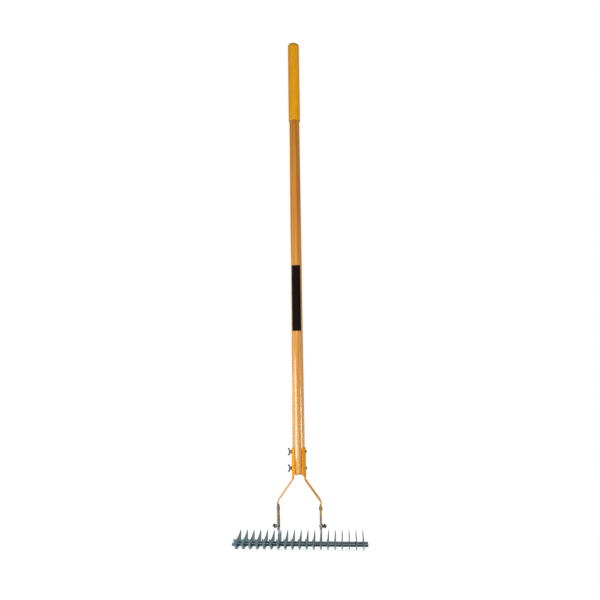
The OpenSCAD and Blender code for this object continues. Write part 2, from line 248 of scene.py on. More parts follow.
def middle(node):
    """The middle of a node's box, as x, y and z."""
    low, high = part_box(node)
    return [(a + b) / 2 for a, b in zip(low, high)]


def handle_bolt_heights():
    return [middle(node)[2] for node in HANDLE_BOLTS]


def along_x(side=1):
    """Turns what stands along Z so that it points along +X, or along -X for a side of -1."""
    return Matrix.Rotation(side * math.pi / 2, 4, "Y")


# Mesh helpers

def arc(centre, radius, start, end, steps):
    """Points on an arc, both ends included."""
    angles = [start + (end - start) * k / steps for k in range(steps + 1)]
    return [(centre[0] + radius * math.cos(a), centre[1] + radius * math.sin(a)) for a in angles]


def circle(centre, radius):
    return arc(centre, radius, 0, 2 * math.pi, HOLE_STEPS)[:-1]


def filleted(corners, steps=EDGE_STEPS):
    """An open line of (x, y, radius) corners, with a curve of about that radius at each inner one."""
    line = [Vector(corners[0][:2])]
    for before, here, after in zip(corners, corners[1:], corners[2:]):
        point = Vector(here[:2])
        back = Vector(before[:2]) - point
        ahead = Vector(after[:2]) - point
        half = back.angle(ahead) / 2
        reach = min(here[2] / math.tan(half), FILLET_SHARE * back.length, FILLET_SHARE * ahead.length)
        start = point + back.normalized() * reach
        end = point + ahead.normalized() * reach
        if reach < NOTHING:
            line.append(point)
            continue
        for k in range(steps + 1):
            s = k / steps
            line.append(start * (1 - s) ** 2 + point * 2 * s * (1 - s) + end * s ** 2)
    line.append(Vector(corners[-1][:2]))
    return [tuple(p) for p in line]


def lathe(rings, sides=SIDES, place=Matrix(), closed=False):
    """A turned solid along Z. A ring is (radius, height), and its radius may depend on the angle."""
    bm = bmesh.new()
    loops = []
    for radius, height in rings:
        if not callable(radius) and radius < NOTHING:
            loops.append([bm.verts.new((0, 0, height))])
            continue
        loop = []
        for k in range(sides):
            a = 2 * math.pi * k / sides
            r = radius(a) if callable(radius) else radius
            loop.append(bm.verts.new((r * math.cos(a), r * math.sin(a), height)))
        loops.append(loop)
    pairs = list(zip(loops, loops[1:]))
    if closed:
        pairs.append((loops[-1], loops[0]))
    for low, high in pairs:
        for k in range(sides):
            corners = [low[k % len(low)], low[(k + 1) % len(low)],
                       high[(k + 1) % len(high)], high[k % len(high)]]
            bm.faces.new(list(dict.fromkeys(corners)))
    bm.transform(place)
    return bm


def inset_loop(points, distance):
    """A closed loop moved to its left by a distance, with mitred corners."""
    count = len(points)
    moved = []
    for k, point in enumerate(points):
        here = Vector(point)
        ahead = (Vector(points[(k + 1) % count]) - here).normalized()
        back = (here - Vector(points[k - 1])).normalized()
        normal = Vector((-ahead.y - back.y, ahead.x + back.x))
        normal.normalize()
        spread = max(normal.dot(Vector((-ahead.y, ahead.x))), MITRE_LIMIT)
        moved.append(tuple(here + normal * distance / spread))
    return moved


def turned(points, left):
    """The loop in the direction that has its inside on the left, or on the right for a hole."""
    area = sum(a[0] * b[1] - b[0] * a[1] for a, b in zip(points, points[1:] + points[:1]))
    return points if (area > 0) == left else points[::-1]


def skin(bm, rings):
    """Four-sided faces between each ring of points and the next."""
    count = len(rings[0])
    for upper, lower in zip(rings, rings[1:]):
        for k in range(count):
            j = (k + 1) % count
            bm.faces.new((upper[k], lower[k], lower[j], upper[j]))


def plate(outline, holes, thickness, edge, steps=EDGE_STEPS):
    """A flat solid with rounded edges, drawn in X and Y and centred on z = 0."""
    bm = bmesh.new()
    loops = [turned(outline, True)] + [turned(hole, False) for hole in holes]
    angles = [math.pi / 2 * k / steps for k in range(steps + 1)]
    levels = [(edge * (1 - math.sin(a)), thickness / 2 - edge * (1 - math.cos(a))) for a in angles]
    levels += [(inset, -height) for inset, height in reversed(levels)]
    caps = [[], []]
    for points in loops:
        rings = []
        for inset, height in levels:
            ring = [bm.verts.new((x, y, height)) for x, y in inset_loop(points, inset)]
            rings.append(ring)
        skin(bm, rings)
        for cap, ring in zip(caps, (rings[0], rings[-1])):
            cap += [bm.edges.get((ring[k - 1], ring[k])) for k in range(len(ring))]
    for cap in caps:
        bmesh.ops.triangle_fill(bm, use_beauty=True, use_dissolve=False, edges=cap)
    return bm


def sheet_section(half_w, thickness, edge):
    """Half of a rounded bar's section, from its middle on one edge to its middle on the other."""
    left = [(-half_w, thickness / 2)]
    left += arc((-half_w + edge, edge), edge, math.pi, 1.5 * math.pi, EDGE_STEPS)
    right = [(-u, f) for u, f in reversed(left)]
    span = 2 * (half_w - edge)
    between = [(-half_w + edge + span * k / SHEET_COLUMNS, 0) for k in range(1, SHEET_COLUMNS)]
    return left + between + right


def close_end(bm, ring):
    """Closes a sheet's end with four-sided faces, and a five-sided one at either edge."""
    half = len(ring) // 2
    bm.faces.new((ring[-1], ring[0], ring[1], ring[2], ring[-2]))
    for k in range(2, half - 2):
        bm.faces.new((ring[k], ring[k + 1], ring[-k - 1], ring[-k]))
    bm.faces.new(ring[half - 2:half + 3])


def end_rounded(rows, edge):
    """The rows with an inset of 0, and a few more rows that round the sheet's two ends."""
    body = [(*row, 0.0) for row in rows]
    angles = [math.pi / 2 * k / EDGE_STEPS for k in range(EDGE_STEPS + 1)]
    ends = []
    for row, inward in ((rows[0], -1), (rows[-1], 1)):
        bend, half_w, x, z, slope = row
        ends.append([
            (bend, half_w, x, z + inward * edge * (1 - math.cos(a)), slope, edge * (1 - math.sin(a)))
            for a in angles
        ])
    return ends[0] + body[1:-1] + ends[1][::-1]


def bent_sheet(rows, thickness, edge):
    """A sheet that faces +X. A row is (bend, half width, x, z, slope) of its inner face."""
    bm = bmesh.new()
    rings = []
    for bend, half_w, x, z, slope, inset in end_rounded(rows, edge):
        thin = thickness - 2 * inset
        inner = sheet_section(half_w - inset, thin, max(edge - inset, LEAST_EDGE * edge))
        outer = [(u, thin - f) for u, f in inner[-2:0:-1]]
        ring = []
        for u, face in inner + outer:
            depth = face + inset
            a = u * bend
            out = depth * math.cos(a) - ((1 - math.cos(a)) / bend if bend else 0)
            across = depth * math.sin(a) + (math.sin(a) / bend if bend else u)
            ring.append(bm.verts.new((x + out * math.cos(slope), across, z + out * math.sin(slope))))
        rings.append(ring)
    skin(bm, rings)
    for ring in (rings[0], rings[-1]):
        close_end(bm, ring)
    return bm


def corner_rows(corner, row_at):
    """Rows whose width is drawn in over a round corner, from its start to the sheet's end."""
    rows = []
    for k in range(CORNER_STEPS + 1):
        a = math.pi / 2 * k / CORNER_STEPS
        rows.append(row_at(corner * (1 - math.sin(a)), corner * (1 - math.cos(a))))
    return rows


def face_out(bm):
    """Turns all faces of a closed mesh outward."""
    bmesh.ops.recalc_face_normals(bm, faces=bm.faces)
    if bm.calc_volume(signed=True) < 0:
        bmesh.ops.reverse_faces(bm, faces=bm.faces)


def fused(parts, operation="UNION"):
    """One solid made of several, or the first one with the others cut out of it."""
    objects = []
    for bm in parts:
        mesh = bpy.data.meshes.new("part")
        face_out(bm)
        bm.to_mesh(mesh)
        bm.free()
        objects.append(bpy.data.objects.new("part", mesh))
        bpy.context.scene.collection.objects.link(objects[-1])
    for tool in objects[1:]:
        modifier = objects[0].modifiers.new("join", "BOOLEAN")
        modifier.operation = operation
        modifier.solver = "MANIFOLD"
        modifier.object = tool
    result = bmesh.new()
    result.from_object(objects[0], bpy.context.evaluated_depsgraph_get())
    for obj in objects:
        mesh = obj.data
        bpy.data.objects.remove(obj)
        bpy.data.meshes.remove(mesh)
    return result


def drilled(bm, holes):
    """The solid with round holes along X; a hole is (x from, x to, z, radius)."""
    cutters = []
    for start, end, z, radius in holes:
        place = Matrix.Translation((start, 0, z)) @ along_x() @ HALF_STEP
        rings = [(0, 0), (radius, 0), (radius, end - start), (0, end - start)]
        cutters.append(lathe(rings, SIDES, place))
    return fused([bm] + cutters, "DIFFERENCE")


def dress(node, bm):
    """Puts a mesh in the place of a CAD node, on the node's body and slot."""
    face_out(bm)
    mesh = bpy.data.meshes.new(node + "_form")
    bm.to_mesh(mesh)
    bm.free()
    mesh.materials.append(FINISHES[SLOT_OF[node]])
    mesh.shade_smooth()
    mesh.set_sharp_from_angle(angle=SMOOTH_ANGLE)
    piece = bpy.data.objects.new(node + "_form", mesh)
    bpy.context.scene.collection.objects.link(piece)
    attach(piece, BODY_OF[node])
    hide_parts(node)


# Materials

# Sockets of the mix node when it mixes colours
MIX_SHARE = 0
MIX_FIRST = 6
MIX_SECOND = 7
MIX_RESULT = 2

# Wood: colours along a growth ring, low on the handle and higher up, and how far the change has gone; the
# browner colours higher up are partly the wood's own and partly painted shade where the light falls off
# up the handle
PALE_RINGS = [(0.0, (0.82, 0.48, 0.13)), (0.5, (0.74, 0.37, 0.065)),
              (0.86, (0.52, 0.21, 0.015)), (1.0, (0.70, 0.34, 0.055))]
BROWN_SHADED_RINGS = [(0.0, (0.70, 0.285, 0.018)), (0.5, (0.63, 0.245, 0.009)),
               (0.86, (0.47, 0.160, 0.003)), (1.0, (0.59, 0.22, 0.007))]
BROWNING_AND_SHADE = [(0.0, (0, 0, 0)), (0.32, (0.55, 0.55, 0.55)), (0.6, (1, 1, 1))]

# Wood: darker bands, fibres and pores, and how strongly each one shows
BAND_TONES = [(0.34, (0.70, 0.60, 0.46)), (0.52, (1.0, 1.0, 1.0))]
BAND_SHARE = 0.9
FIBRE_TONES = [(0.35, (0.86, 0.80, 0.72)), (0.62, (1.0, 1.0, 1.0))]
FIBRE_SHARE = 0.45
PORE_TONES = [(0.30, (0.55, 0.42, 0.30)), (0.38, (1.0, 1.0, 1.0))]
PORE_SHARE = 0.2

# Wood: a band of painted shade right of the middle, paler further up
SHADE_BAND_X = 4.3 * MM
SHADE_BAND_CORE = 1.2 * MM
SHADE_BAND_REACH = 4.8 * MM
SHADE_BAND_DRIFT = 1.5 * MM
SHADE_BAND_TONE = (0.72, 0.58, 0.38)
SHADE_BAND_TOP_TONE = (0.86, 0.76, 0.50)

# Wood: painted shadow beside the shells' edges, and darker end grain
SHELL_SHADOW_W = 2.5 * MM
SHELL_SHADOW_CORE = 1 * MM
SHADOW_AND_END_GRAIN_TONE = (0.45, 0.34, 0.25)
END_GRAIN_CORE = 2 * MM
END_GRAIN_REACH = 3.5 * MM

# Grip, with painted shade on its round end, and label
VINYL_COLOURS = [(0.3, (0.73, 0.31, 0.004)), (0.7, (0.82, 0.365, 0.005))]
CAP_SHADE_TONE = (0.5, 0.62, 1.0)
FILM_COLOURS = [(0.3, (0.0025, 0.0022, 0.002)), (0.75, (0.005, 0.0042, 0.004))]

# Straps, turning to ochre below the handle
PAINT_COLOURS = [(0.3, (0.78, 0.288, 0.003)), (0.7, (0.84, 0.322, 0.004))]
OCHRE = (0.42, 0.27, 0.06)
OCHRE_SHARE = 0.5
OCHRE_FADE = 40 * MM

# Metal: cloudy patches run from a dark to a light colour, with faint drawn lines over them
CLOUD_LOW = 0.32
CLOUD_HIGH = 0.68
LINE_TONES = [(0.3, (0.82, 0.83, 0.84)), (0.65, (1.0, 1.0, 1.0))]
LINE_SHARE = 0.7

# Blades: painted shade on the cut edges and along the rear, and warm painted shade on the arms. A face's
# normal lies along X, an edge's doesn't
EDGE_SHADE_TONE = (0.13, 0.135, 0.15)
EDGE_FADE = 8 * MM
EDGE_NORMAL_X = 0.5
FACE_NORMAL_X = 0.9
REAR_W = 12 * MM
REAR_FADE = 4.8 * MM
REAR_SHADE_TONE = (0.38, 0.39, 0.41)
ARM_SHADE_LOW = 45 * MM
ARM_SHADE_HIGH = 85 * MM
ARM_SHADE_TONE = (0.65, 0.36, 0.19)

# Rods: painted shade up to a height above the middle, given as a share of the radius
ROD_DARK = 0.6
ROD_CLEAR = 0.85
ROD_SHADE_TONE = (0.25, 0.25, 0.25)


class Finish:
    """A material with a principled shader, and short calls that add nodes to it."""

    def __init__(self, name):
        self.material = bpy.data.materials.new(name)
        self.material.use_nodes = True
        self.tree = self.material.node_tree
        self.shader = self.tree.nodes["Principled BSDF"]
        self.place = self.tree.nodes.new("ShaderNodeTexCoord").outputs["Object"]

    def set(self, **values):
        """Values that are the same all over, given with _ for a blank."""
        for name, value in values.items():
            self.shader.inputs[name.replace("_", " ")].default_value = value

    def link(self, output, socket):
        self.tree.links.new(output, self.shader.inputs[socket])

    def add(self, kind, inputs, **settings):
        """A new node; an input is a value or another node's output."""
        node = self.tree.nodes.new(kind)
        for name, value in settings.items():
            setattr(node, name, value)
        for name, value in inputs.items():
            if isinstance(value, bpy.types.NodeSocket):
                self.tree.links.new(value, node.inputs[name])
            else:
                node.inputs[name].default_value = value
        return node

    def along(self, axis):
        """A point's coordinate along X, Y or Z."""
        return self.add("ShaderNodeSeparateXYZ", {"Vector": self.place}).outputs[axis]

    def calc(self, operation, *values):
        """The result of a sum, a product or the like."""
        return self.add("ShaderNodeMath", dict(enumerate(values)), operation=operation).outputs[0]

    def scaled(self, scale, turn=(0, 0, 0), move=(0, 0, 0)):
        """A point's place, scaled, turned and moved."""
        inputs = {"Vector": self.place, "Scale": scale, "Rotation": turn, "Location": move}
        return self.add("ShaderNodeMapping", inputs).outputs["Vector"]

    def noise(self, scale, detail=3.0, roughness=0.55, turn=(0, 0, 0)):
        inputs = {"Vector": self.scaled(scale, turn), "Scale": 1.0, "Detail": detail,
                  "Roughness": roughness}
        return self.add("ShaderNodeTexNoise", inputs).outputs["Fac"]

    def ramp(self, value, stops):
        """Colours along a value; a stop is (position, colour)."""
        node = self.add("ShaderNodeValToRGB", {"Fac": value})
        elements = node.color_ramp.elements
        while len(elements) < len(stops):
            elements.new(0.5)
        for element, (position, colour) in zip(elements, stops):
            element.position = position
            element.color = (*colour, 1)
        return node.outputs["Color"]

    def mix(self, share, first, second, blend="MIX"):
        """A share of the second colour over the first; each is a colour or another node's output."""
        inputs = {MIX_SHARE: share}
        for socket, colour in ((MIX_FIRST, first), (MIX_SECOND, second)):
            inputs[socket] = colour if isinstance(colour, bpy.types.NodeSocket) else (*colour, 1)
        node = self.add("ShaderNodeMix", inputs, data_type="RGBA", blend_type=blend)
        return node.outputs[MIX_RESULT]

    def spread(self, value, low, high, start=0.3, end=0.7):
        """A value from start to end, mapped to low and high."""
        inputs = {"Value": value, "From Min": start, "From Max": end, "To Min": low, "To Max": high}
        return self.add("ShaderNodeMapRange", inputs).outputs["Result"]

    def bump(self, height, distance):
        inputs = {"Height": height, "Distance": distance, "Strength": 1.0}
        self.link(self.add("ShaderNodeBump", inputs).outputs["Normal"], "Normal")


def growth_rings(finish):
    """Rings round a line that leans a little against the handle's axis."""
    return finish.add("ShaderNodeTexWave", {
        "Vector": finish.scaled((1, 1, 0.03), (0.16, -0.3, 0), (0.045, 0.03, 0)),
        "Scale": 95.0, "Distortion": 5.0, "Detail": 3.0, "Detail Scale": 0.35, "Detail Roughness": 0.6,
    }, wave_type="RINGS", rings_direction="Z", wave_profile="SAW").outputs["Fac"]


def handle_rise(finish):
    """0 at the handle's lower end, rising to 1 a little above its middle."""
    rise = finish.spread(finish.along("Z"), 0.0, 1.0, HANDLE_LOW.z, HANDLE_HIGH.z)
    return finish.ramp(rise, BROWNING_AND_SHADE)


def shade_band(finish):
    """1 in a band of painted shade that runs along the handle, right of its middle, and 0 elsewhere."""
    drift = finish.spread(finish.noise((20, 20, 5), 2.0), -SHADE_BAND_DRIFT, SHADE_BAND_DRIFT)
    place = finish.calc("ADD", finish.along("X"), drift)
    distance = finish.calc("ABSOLUTE", finish.calc("SUBTRACT", place, SHADE_BAND_X))
    return finish.spread(distance, 1.0, 0.0, SHADE_BAND_CORE, SHADE_BAND_REACH)


def shell_shadow_and_end_grain(finish):
    """1 on the end grain of the handle's lower end and in painted shadow beside the shells' edges, and 0
    elsewhere.
    """
    across = finish.calc("ABSOLUTE", finish.along("X"))
    height = finish.along("Z")
    edge_x = HANDLE_R * math.cos(SHELL_ANGLE / 2)
    # Painted shadow on the wood beside the shells' edges
    beside = finish.spread(across, 0.0, 1.0, edge_x - SHELL_SHADOW_W, edge_x - SHELL_SHADOW_CORE)
    below_top = finish.spread(height, 1.0, 0.0, TAPER_LOW - SHELL_SHADOW_W, TAPER_LOW)
    end = finish.spread(height, 1.0, 0.0, HANDLE_LOW.z + END_GRAIN_CORE, HANDLE_LOW.z + END_GRAIN_REACH)
    return finish.calc("MAXIMUM", finish.calc("MULTIPLY", beside, below_top), end)


def wood_finish():
    """Lacquered hardwood with growth rings that run nearly along the handle, browner further up, partly
    its own tone and partly painted shade, with a band of painted shade, painted shadow beside the shells
    and darker end grain.
    """
    finish = Finish("wood")
    rings = growth_rings(finish)
    fibres = finish.noise((1100, 1100, 9), 4.0, 0.65)
    pores = finish.noise((1500, 1500, 30), 2.0, 0.5)
    bands = finish.noise((120, 120, 1.6), 3.0)
    rise = handle_rise(finish)
    # Browner higher up: partly the wood's own tone, partly painted shade where the light falls off up the
    # handle
    base = finish.mix(rise, finish.ramp(rings, PALE_RINGS), finish.ramp(rings, BROWN_SHADED_RINGS))
    banded = finish.mix(BAND_SHARE, base, finish.ramp(bands, BAND_TONES), "MULTIPLY")
    streaked = finish.mix(FIBRE_SHARE, banded, finish.ramp(fibres, FIBRE_TONES), "MULTIPLY")
    dotted = finish.mix(PORE_SHARE, streaked, finish.ramp(pores, PORE_TONES), "MULTIPLY")
    # Painted shade: a darker band along the handle, right of its middle
    shade_band_tone = finish.mix(rise, SHADE_BAND_TONE, SHADE_BAND_TOP_TONE)
    band_shaded = finish.mix(shade_band(finish), dotted, shade_band_tone, "MULTIPLY")
    finish.link(finish.mix(shell_shadow_and_end_grain(finish), band_shaded, SHADOW_AND_END_GRAIN_TONE, "MULTIPLY"), "Base Color")
    finish.link(finish.spread(fibres, 0.34, 0.48), "Roughness")
    finish.bump(fibres, 0.012 * MM)
    finish.link(finish.spread(rise, 1.0, 0.25, 0.0, 1.0), "Coat Weight")
    finish.set(Specular_IOR_Level=0.0, Coat_Roughness=0.13, Coat_IOR=1.74)
    return finish.material


def vinyl_finish():
    """Soft matte vinyl with a fine grain, and painted shade on its round end."""
    finish = Finish("grip_vinyl")
    mottle = finish.noise((60, 60, 22), 3.0)
    grain = finish.noise((2600, 2600, 2600), 2.0)
    colour = finish.ramp(mottle, VINYL_COLOURS)
    # Painted shade on the grip's round end
    cap_low = GRIP_HIGH.z - GRIP_ROUND
    cap = finish.spread(finish.along("Z"), 0.0, 1.0, cap_low, cap_low + GRIP_ROUND / 2)
    finish.link(finish.mix(cap, colour, CAP_SHADE_TONE, "MULTIPLY"), "Base Color")
    finish.link(finish.spread(grain, 0.46, 0.60), "Roughness")
    finish.bump(grain, 0.04 * MM)
    finish.set(Specular_IOR_Level=0.1)
    return finish.material


def film_finish():
    """Plain black film with faint handling marks."""
    finish = Finish("label_film")
    marks = finish.noise((140, 900, 60), 4.0, 0.7)
    finish.link(finish.ramp(marks, FILM_COLOURS), "Base Color")
    finish.link(finish.spread(marks, 0.42, 0.56), "Roughness")
    finish.bump(marks, 0.02 * MM)
    finish.set(Specular_IOR_Level=0.04)
    return finish.material


def paint_finish():
    """Enamel with a slight orange peel, turning to ochre below the handle."""
    finish = Finish("strap_paint")
    peel = finish.noise((420, 420, 420), 2.0)
    clouds = finish.noise((38, 38, 38), 3.0)
    colour = finish.ramp(clouds, PAINT_COLOURS)
    ochre = finish.spread(finish.along("Z"), OCHRE_SHARE, 0.0, HANDLE_LOW.z - OCHRE_FADE, HANDLE_LOW.z)
    finish.link(finish.mix(ochre, colour, OCHRE), "Base Color")
    finish.link(finish.spread(peel, 0.30, 0.40), "Roughness")
    finish.bump(peel, 0.05 * MM)
    finish.set(Specular_IOR_Level=0.1)
    return finish.material


def cut_edge_shade(finish):
    """1 for painted shade on a blade's cut edges between its belly and its arm, and 0 on its faces."""
    normal = finish.add("ShaderNodeNewGeometry", {}).outputs["Normal"]
    across = finish.add("ShaderNodeSeparateXYZ", {"Vector": normal}).outputs["X"]
    edges = finish.spread(finish.calc("ABSOLUTE", across), 1.0, 0.0, EDGE_NORMAL_X, FACE_NORMAL_X)
    height = finish.along("Z")
    below_arm = finish.spread(height, 1.0, 0.0, TIP_H, ARM_SHADE_LOW)
    above_belly = finish.spread(height, 0.0, 1.0, EDGE_FADE, BLADE_WEB)
    return finish.calc("MULTIPLY", edges, finish.calc("MULTIPLY", below_arm, above_belly))


def rear_shade_strip(finish):
    """1 for painted shade along a blade's rear edge, and 0 on the rest of it."""
    start = BLADE_SPAN / 2 - TIP_BLUNT - REAR_W
    return finish.spread(finish.along("Y"), 0.0, 1.0, start, start + REAR_FADE)


def blade_shade(finish, plated):
    """Painted shade on the blades' cut edges and along the rear, and warm painted shade on the arms."""
    # Painted shade along the blades' rear edge
    shaded = finish.mix(rear_shade_strip(finish), plated, REAR_SHADE_TONE, "MULTIPLY")
    # Painted shade on the cut edges, which face away from the side lamps
    edged = finish.mix(cut_edge_shade(finish), shaded, EDGE_SHADE_TONE, "MULTIPLY")
    # Warm painted shade on the arms, deeper up towards the pivot where they sit against the straps
    arm = finish.spread(finish.along("Z"), 0.0, 1.0, ARM_SHADE_LOW, ARM_SHADE_HIGH)
    return finish.mix(arm, edged, ARM_SHADE_TONE, "MULTIPLY")


def rod_shade(finish, plated):
    """Rods with painted shade below, lighter on top."""
    low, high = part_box("front_rod")
    radius = (high.z - low.z) / 2
    axis_z = middle("front_rod")[2]
    dark_z = axis_z + ROD_DARK * radius
    clear_z = axis_z + ROD_CLEAR * radius
    below = finish.spread(finish.along("Z"), 1.0, 0.0, dark_z, clear_z)
    # Painted shade on the lower part of each rod
    return finish.mix(below, plated, ROD_SHADE_TONE, "MULTIPLY")


def zinc_finish(name, dark, light, low_rough, high_rough, shade=None):
    """Dull zinc plate with cloudy patches and fine drawn lines, and what a shade function adds."""
    finish = Finish(name)
    clouds = finish.noise((70, 70, 70), 4.0, 0.6)
    lines = finish.noise((2200, 160, 2200), 2.0, 0.5, (0.5, 0, 0))
    colour = finish.ramp(clouds, [(CLOUD_LOW, dark), (CLOUD_HIGH, light)])
    plated = finish.mix(LINE_SHARE, colour, finish.ramp(lines, LINE_TONES), "MULTIPLY")
    finish.link(shade(finish, plated) if shade else plated, "Base Color")
    finish.link(finish.spread(clouds, high_rough, low_rough), "Roughness")
    finish.bump(lines, 0.02 * MM)
    finish.set(Metallic=0.6, Specular_IOR_Level=0.2, Specular_Tint=(0.35, 0.35, 0.35, 1))
    return finish.material


FINISHES = {
    "wood": wood_finish(),
    "grip_vinyl": vinyl_finish(),
    "label_film": film_finish(),
    "strap_paint": paint_finish(),
    "blade_zinc": zinc_finish("blade_zinc", (0.27, 0.385, 0.42), (0.43, 0.585, 0.625), 0.62, 0.78,
                              blade_shade),
    "rod_steel": zinc_finish("rod_steel", (0.145, 0.195, 0.218), (0.27, 0.347, 0.38), 0.32, 0.44,
                             rod_shade),
    "fastener_steel": zinc_finish("fastener_steel", (0.08, 0.082, 0.08), (0.14, 0.142, 0.138), 0.36, 0.5),
}


# Handle, grip and label

def wood_r(z):
    """Radius of the wood on its taper, between the straps and the grip."""
    share = (z - TAPER_LOW) / (GRIP_LOW.z - TAPER_LOW)
    return HANDLE_R + (HANDLE_TOP_R - HANDLE_R) * min(max(share, 0), 1)


def handle():
    line = filleted([
        (0, HANDLE_LOW.z, 0), (HANDLE_R, HANDLE_LOW.z, HANDLE_EDGE), (HANDLE_R, TAPER_LOW, 0),
        (HANDLE_TOP_R, GRIP_LOW.z, 0), (HANDLE_TOP_R, HANDLE_HIGH.z, HANDLE_EDGE), (0, HANDLE_HIGH.z, 0),
    ])
    reach = HANDLE_R + STRAP_T
    holes = [(-reach, reach, z, BOLT_BORE) for z in handle_bolt_heights()]
    dress("handle", drilled(lathe(line, FINE_SIDES), holes))


def grip():
    """A sleeve with a closed, rounded end, and with a bead and a tapered lip at its lower end."""
    bore = HANDLE_TOP_R + GRIP_FIT
    bead = GRIP_LOW.z + GRIP_BEAD_LEN
    line = filleted([
        (0, GRIP_HIGH.z - GRIP_END, 0), (bore, GRIP_HIGH.z - GRIP_END, 0),
        (bore, GRIP_LOW.z, 0), (bore + GRIP_EDGE, GRIP_LOW.z, GRIP_LIP_EDGE),
        (GRIP_R + GRIP_BEAD, GRIP_LOW.z + GRIP_TAPER, GRIP_EDGE),
        (GRIP_R + GRIP_BEAD, bead, GRIP_EDGE), (GRIP_R, bead + GRIP_LIP, GRIP_EDGE),
        (GRIP_R, GRIP_HIGH.z, GRIP_ROUND), (0, GRIP_HIGH.z, 0),
    ], GRIP_STEPS)
    dress("grip", lathe(line, FINE_SIDES))


def label():
    def row_at(z, shrink):
        radius = wood_r(z) + LABEL_FIT
        return (1 / radius, radius * LABEL_ANGLE / 2 - shrink, radius, z, 0.0)

    top = corner_rows(LABEL_CORNER, lambda drop, shrink: row_at(LABEL_HIGH.z - drop, shrink))
    low = corner_rows(LABEL_CORNER, lambda rise, shrink: row_at(LABEL_LOW.z + rise, shrink))
    bm = bent_sheet(top[::-1] + low, LABEL_T, LABEL_EDGE)
    bm.transform(Matrix.Rotation(-math.pi / 2, 4, "Z"))
    dress("label", bm)


# Straps

def ease(s):
    """A smooth way from 0 to 1."""
    return s * s * (3 - 2 * s)


def shell_row(z, share, shrink=0.0):
    """A row on the handle, with the shell's width and curl at 0 and those of the slanted part at 1."""
    shell_w = SHELL_R * SHELL_ANGLE / 2
    width = shell_w + share * (STRAP_W / 2 - shell_w) - shrink
    return ((1 - share * (1 - SLANT_CURL)) / SHELL_R, width, SHELL_R, z, 0.0)


def shell_rows():
    """The half shell, down to where it has narrowed to the strap's width."""
    top = corner_rows(SHELL_CORNER, lambda drop, shrink: shell_row(STRAP_HIGH.z - drop, 0, shrink))
    rows = top[::-1]
    rows.append(shell_row(sum(handle_bolt_heights()) / 2, 0))
    flat_z = UPPER_BEND_Z + STRAP_LAND
    for k in range(BEND_STEPS + 1):
        s = k / BEND_STEPS
        rows.append(shell_row(HANDLE_LOW.z + (flat_z - HANDLE_LOW.z) * s, ease(s)))
    return rows


def bend_rows():
    """The upper bend outward and the lower one back, where the slanted part loses its curl."""
    half_w = STRAP_W / 2
    rows = []
    for k in range(BEND_STEPS + 1):
        a = SLANT * k / BEND_STEPS
        x = SHELL_R + UPPER_FACE_R * (1 - math.cos(a))
        rows.append((SLANT_CURL / SHELL_R, half_w, x, UPPER_BEND_Z - UPPER_FACE_R * math.sin(a), a))
    for k in range(BEND_STEPS, -1, -1):
        a = SLANT * k / BEND_STEPS
        x = STRAP_IN_X - LOWER_BEND_R * (1 - math.cos(a))
        curl = SLANT_CURL * ease(k / BEND_STEPS) / SHELL_R
        rows.append((curl, half_w, x, LOWER_BEND_Z + LOWER_BEND_R * math.sin(a), a))
    return rows


def tail_row(rise, shrink):
    """A row of the flat lower end."""
    return (0, STRAP_W / 2 - shrink, STRAP_IN_X, STRAP_LOW.z + rise, 0.0)


def straps():
    rows = shell_rows() + bend_rows() + corner_rows(STRAP_CORNER, tail_row)
    holes = [(0, SHELL_OUT_R + STRAP_T, z, BOLT_BORE) for z in handle_bolt_heights()]
    flat = (STRAP_IN_X - STRAP_T, STRAP_OUT_X + STRAP_T)
    holes += [(*flat, PIVOT_Z, RIVET_BORE), (*flat, LOCK_Z, BOLT_BORE)]
    for node, side in (("right_strap", 1), ("left_strap", -1)):
        bm = drilled(bent_sheet(rows, STRAP_T, STRAP_EDGE), holes)
        bm.transform(Matrix.Diagonal((side, 1, 1, 1)))
        dress(node, bm)


# Fasteners

def dome_rings(diameter, height, base, up):
    """Rings of a low dome with a thin straight rim, from its top to its foot."""
    cap = height - DOME_RIM * height
    ball = (diameter ** 2 / 4 + cap ** 2) / (2 * cap)
    reach = math.asin(diameter / 2 / ball)
    rings = []
    for k in range(DOME_STEPS + 1):
        a = reach * k / DOME_STEPS
        rings.append((ball * math.sin(a), base + up * (height - ball * (1 - math.cos(a)))))
    return rings + [(diameter / 2, base)]


def thread_rings(start, end):
    """Rings of a helical thread between two heights, ending in a chamfer."""
    step = THREAD_PITCH / THREAD_STEPS
    count = int((end - start) / step)
    rings = []

    def crest(height):
        limit = BOLT_R - max(0, BOLT_TIP - (end - height))

        def radius(angle):
            turn = (height / THREAD_PITCH - angle / (2 * math.pi)) % 1
            return min(BOLT_R - THREAD_DEPTH * abs(2 * turn - 1), limit)
        return radius

    for k in range(count + 1):
        height = start + step * k
        rings.append((crest(height), height))
    return rings


def square_ring(height):
    """A square as wide as the bolt, with its corners a little broken."""
    def radius(angle):
        return min(BOLT_R / max(abs(math.cos(angle)), abs(math.sin(angle))), NECK_CORNER_R)
    return (radius, height)


def bolt(length, neck):
    """A round-head bolt along Z, with its seat at 0, its head below and its thread at the top."""
    rings = dome_rings(HEAD_D, HEAD_H, 0, -1)
    if neck:
        rings += [square_ring(0), square_ring(neck)]
    rings += [(BOLT_R, neck), (BOLT_R, length - THREAD_LEN)]
    rings += thread_rings(length - THREAD_LEN, length)
    rings += [(0, length)]
    return lathe(rings, SLIM_SIDES)


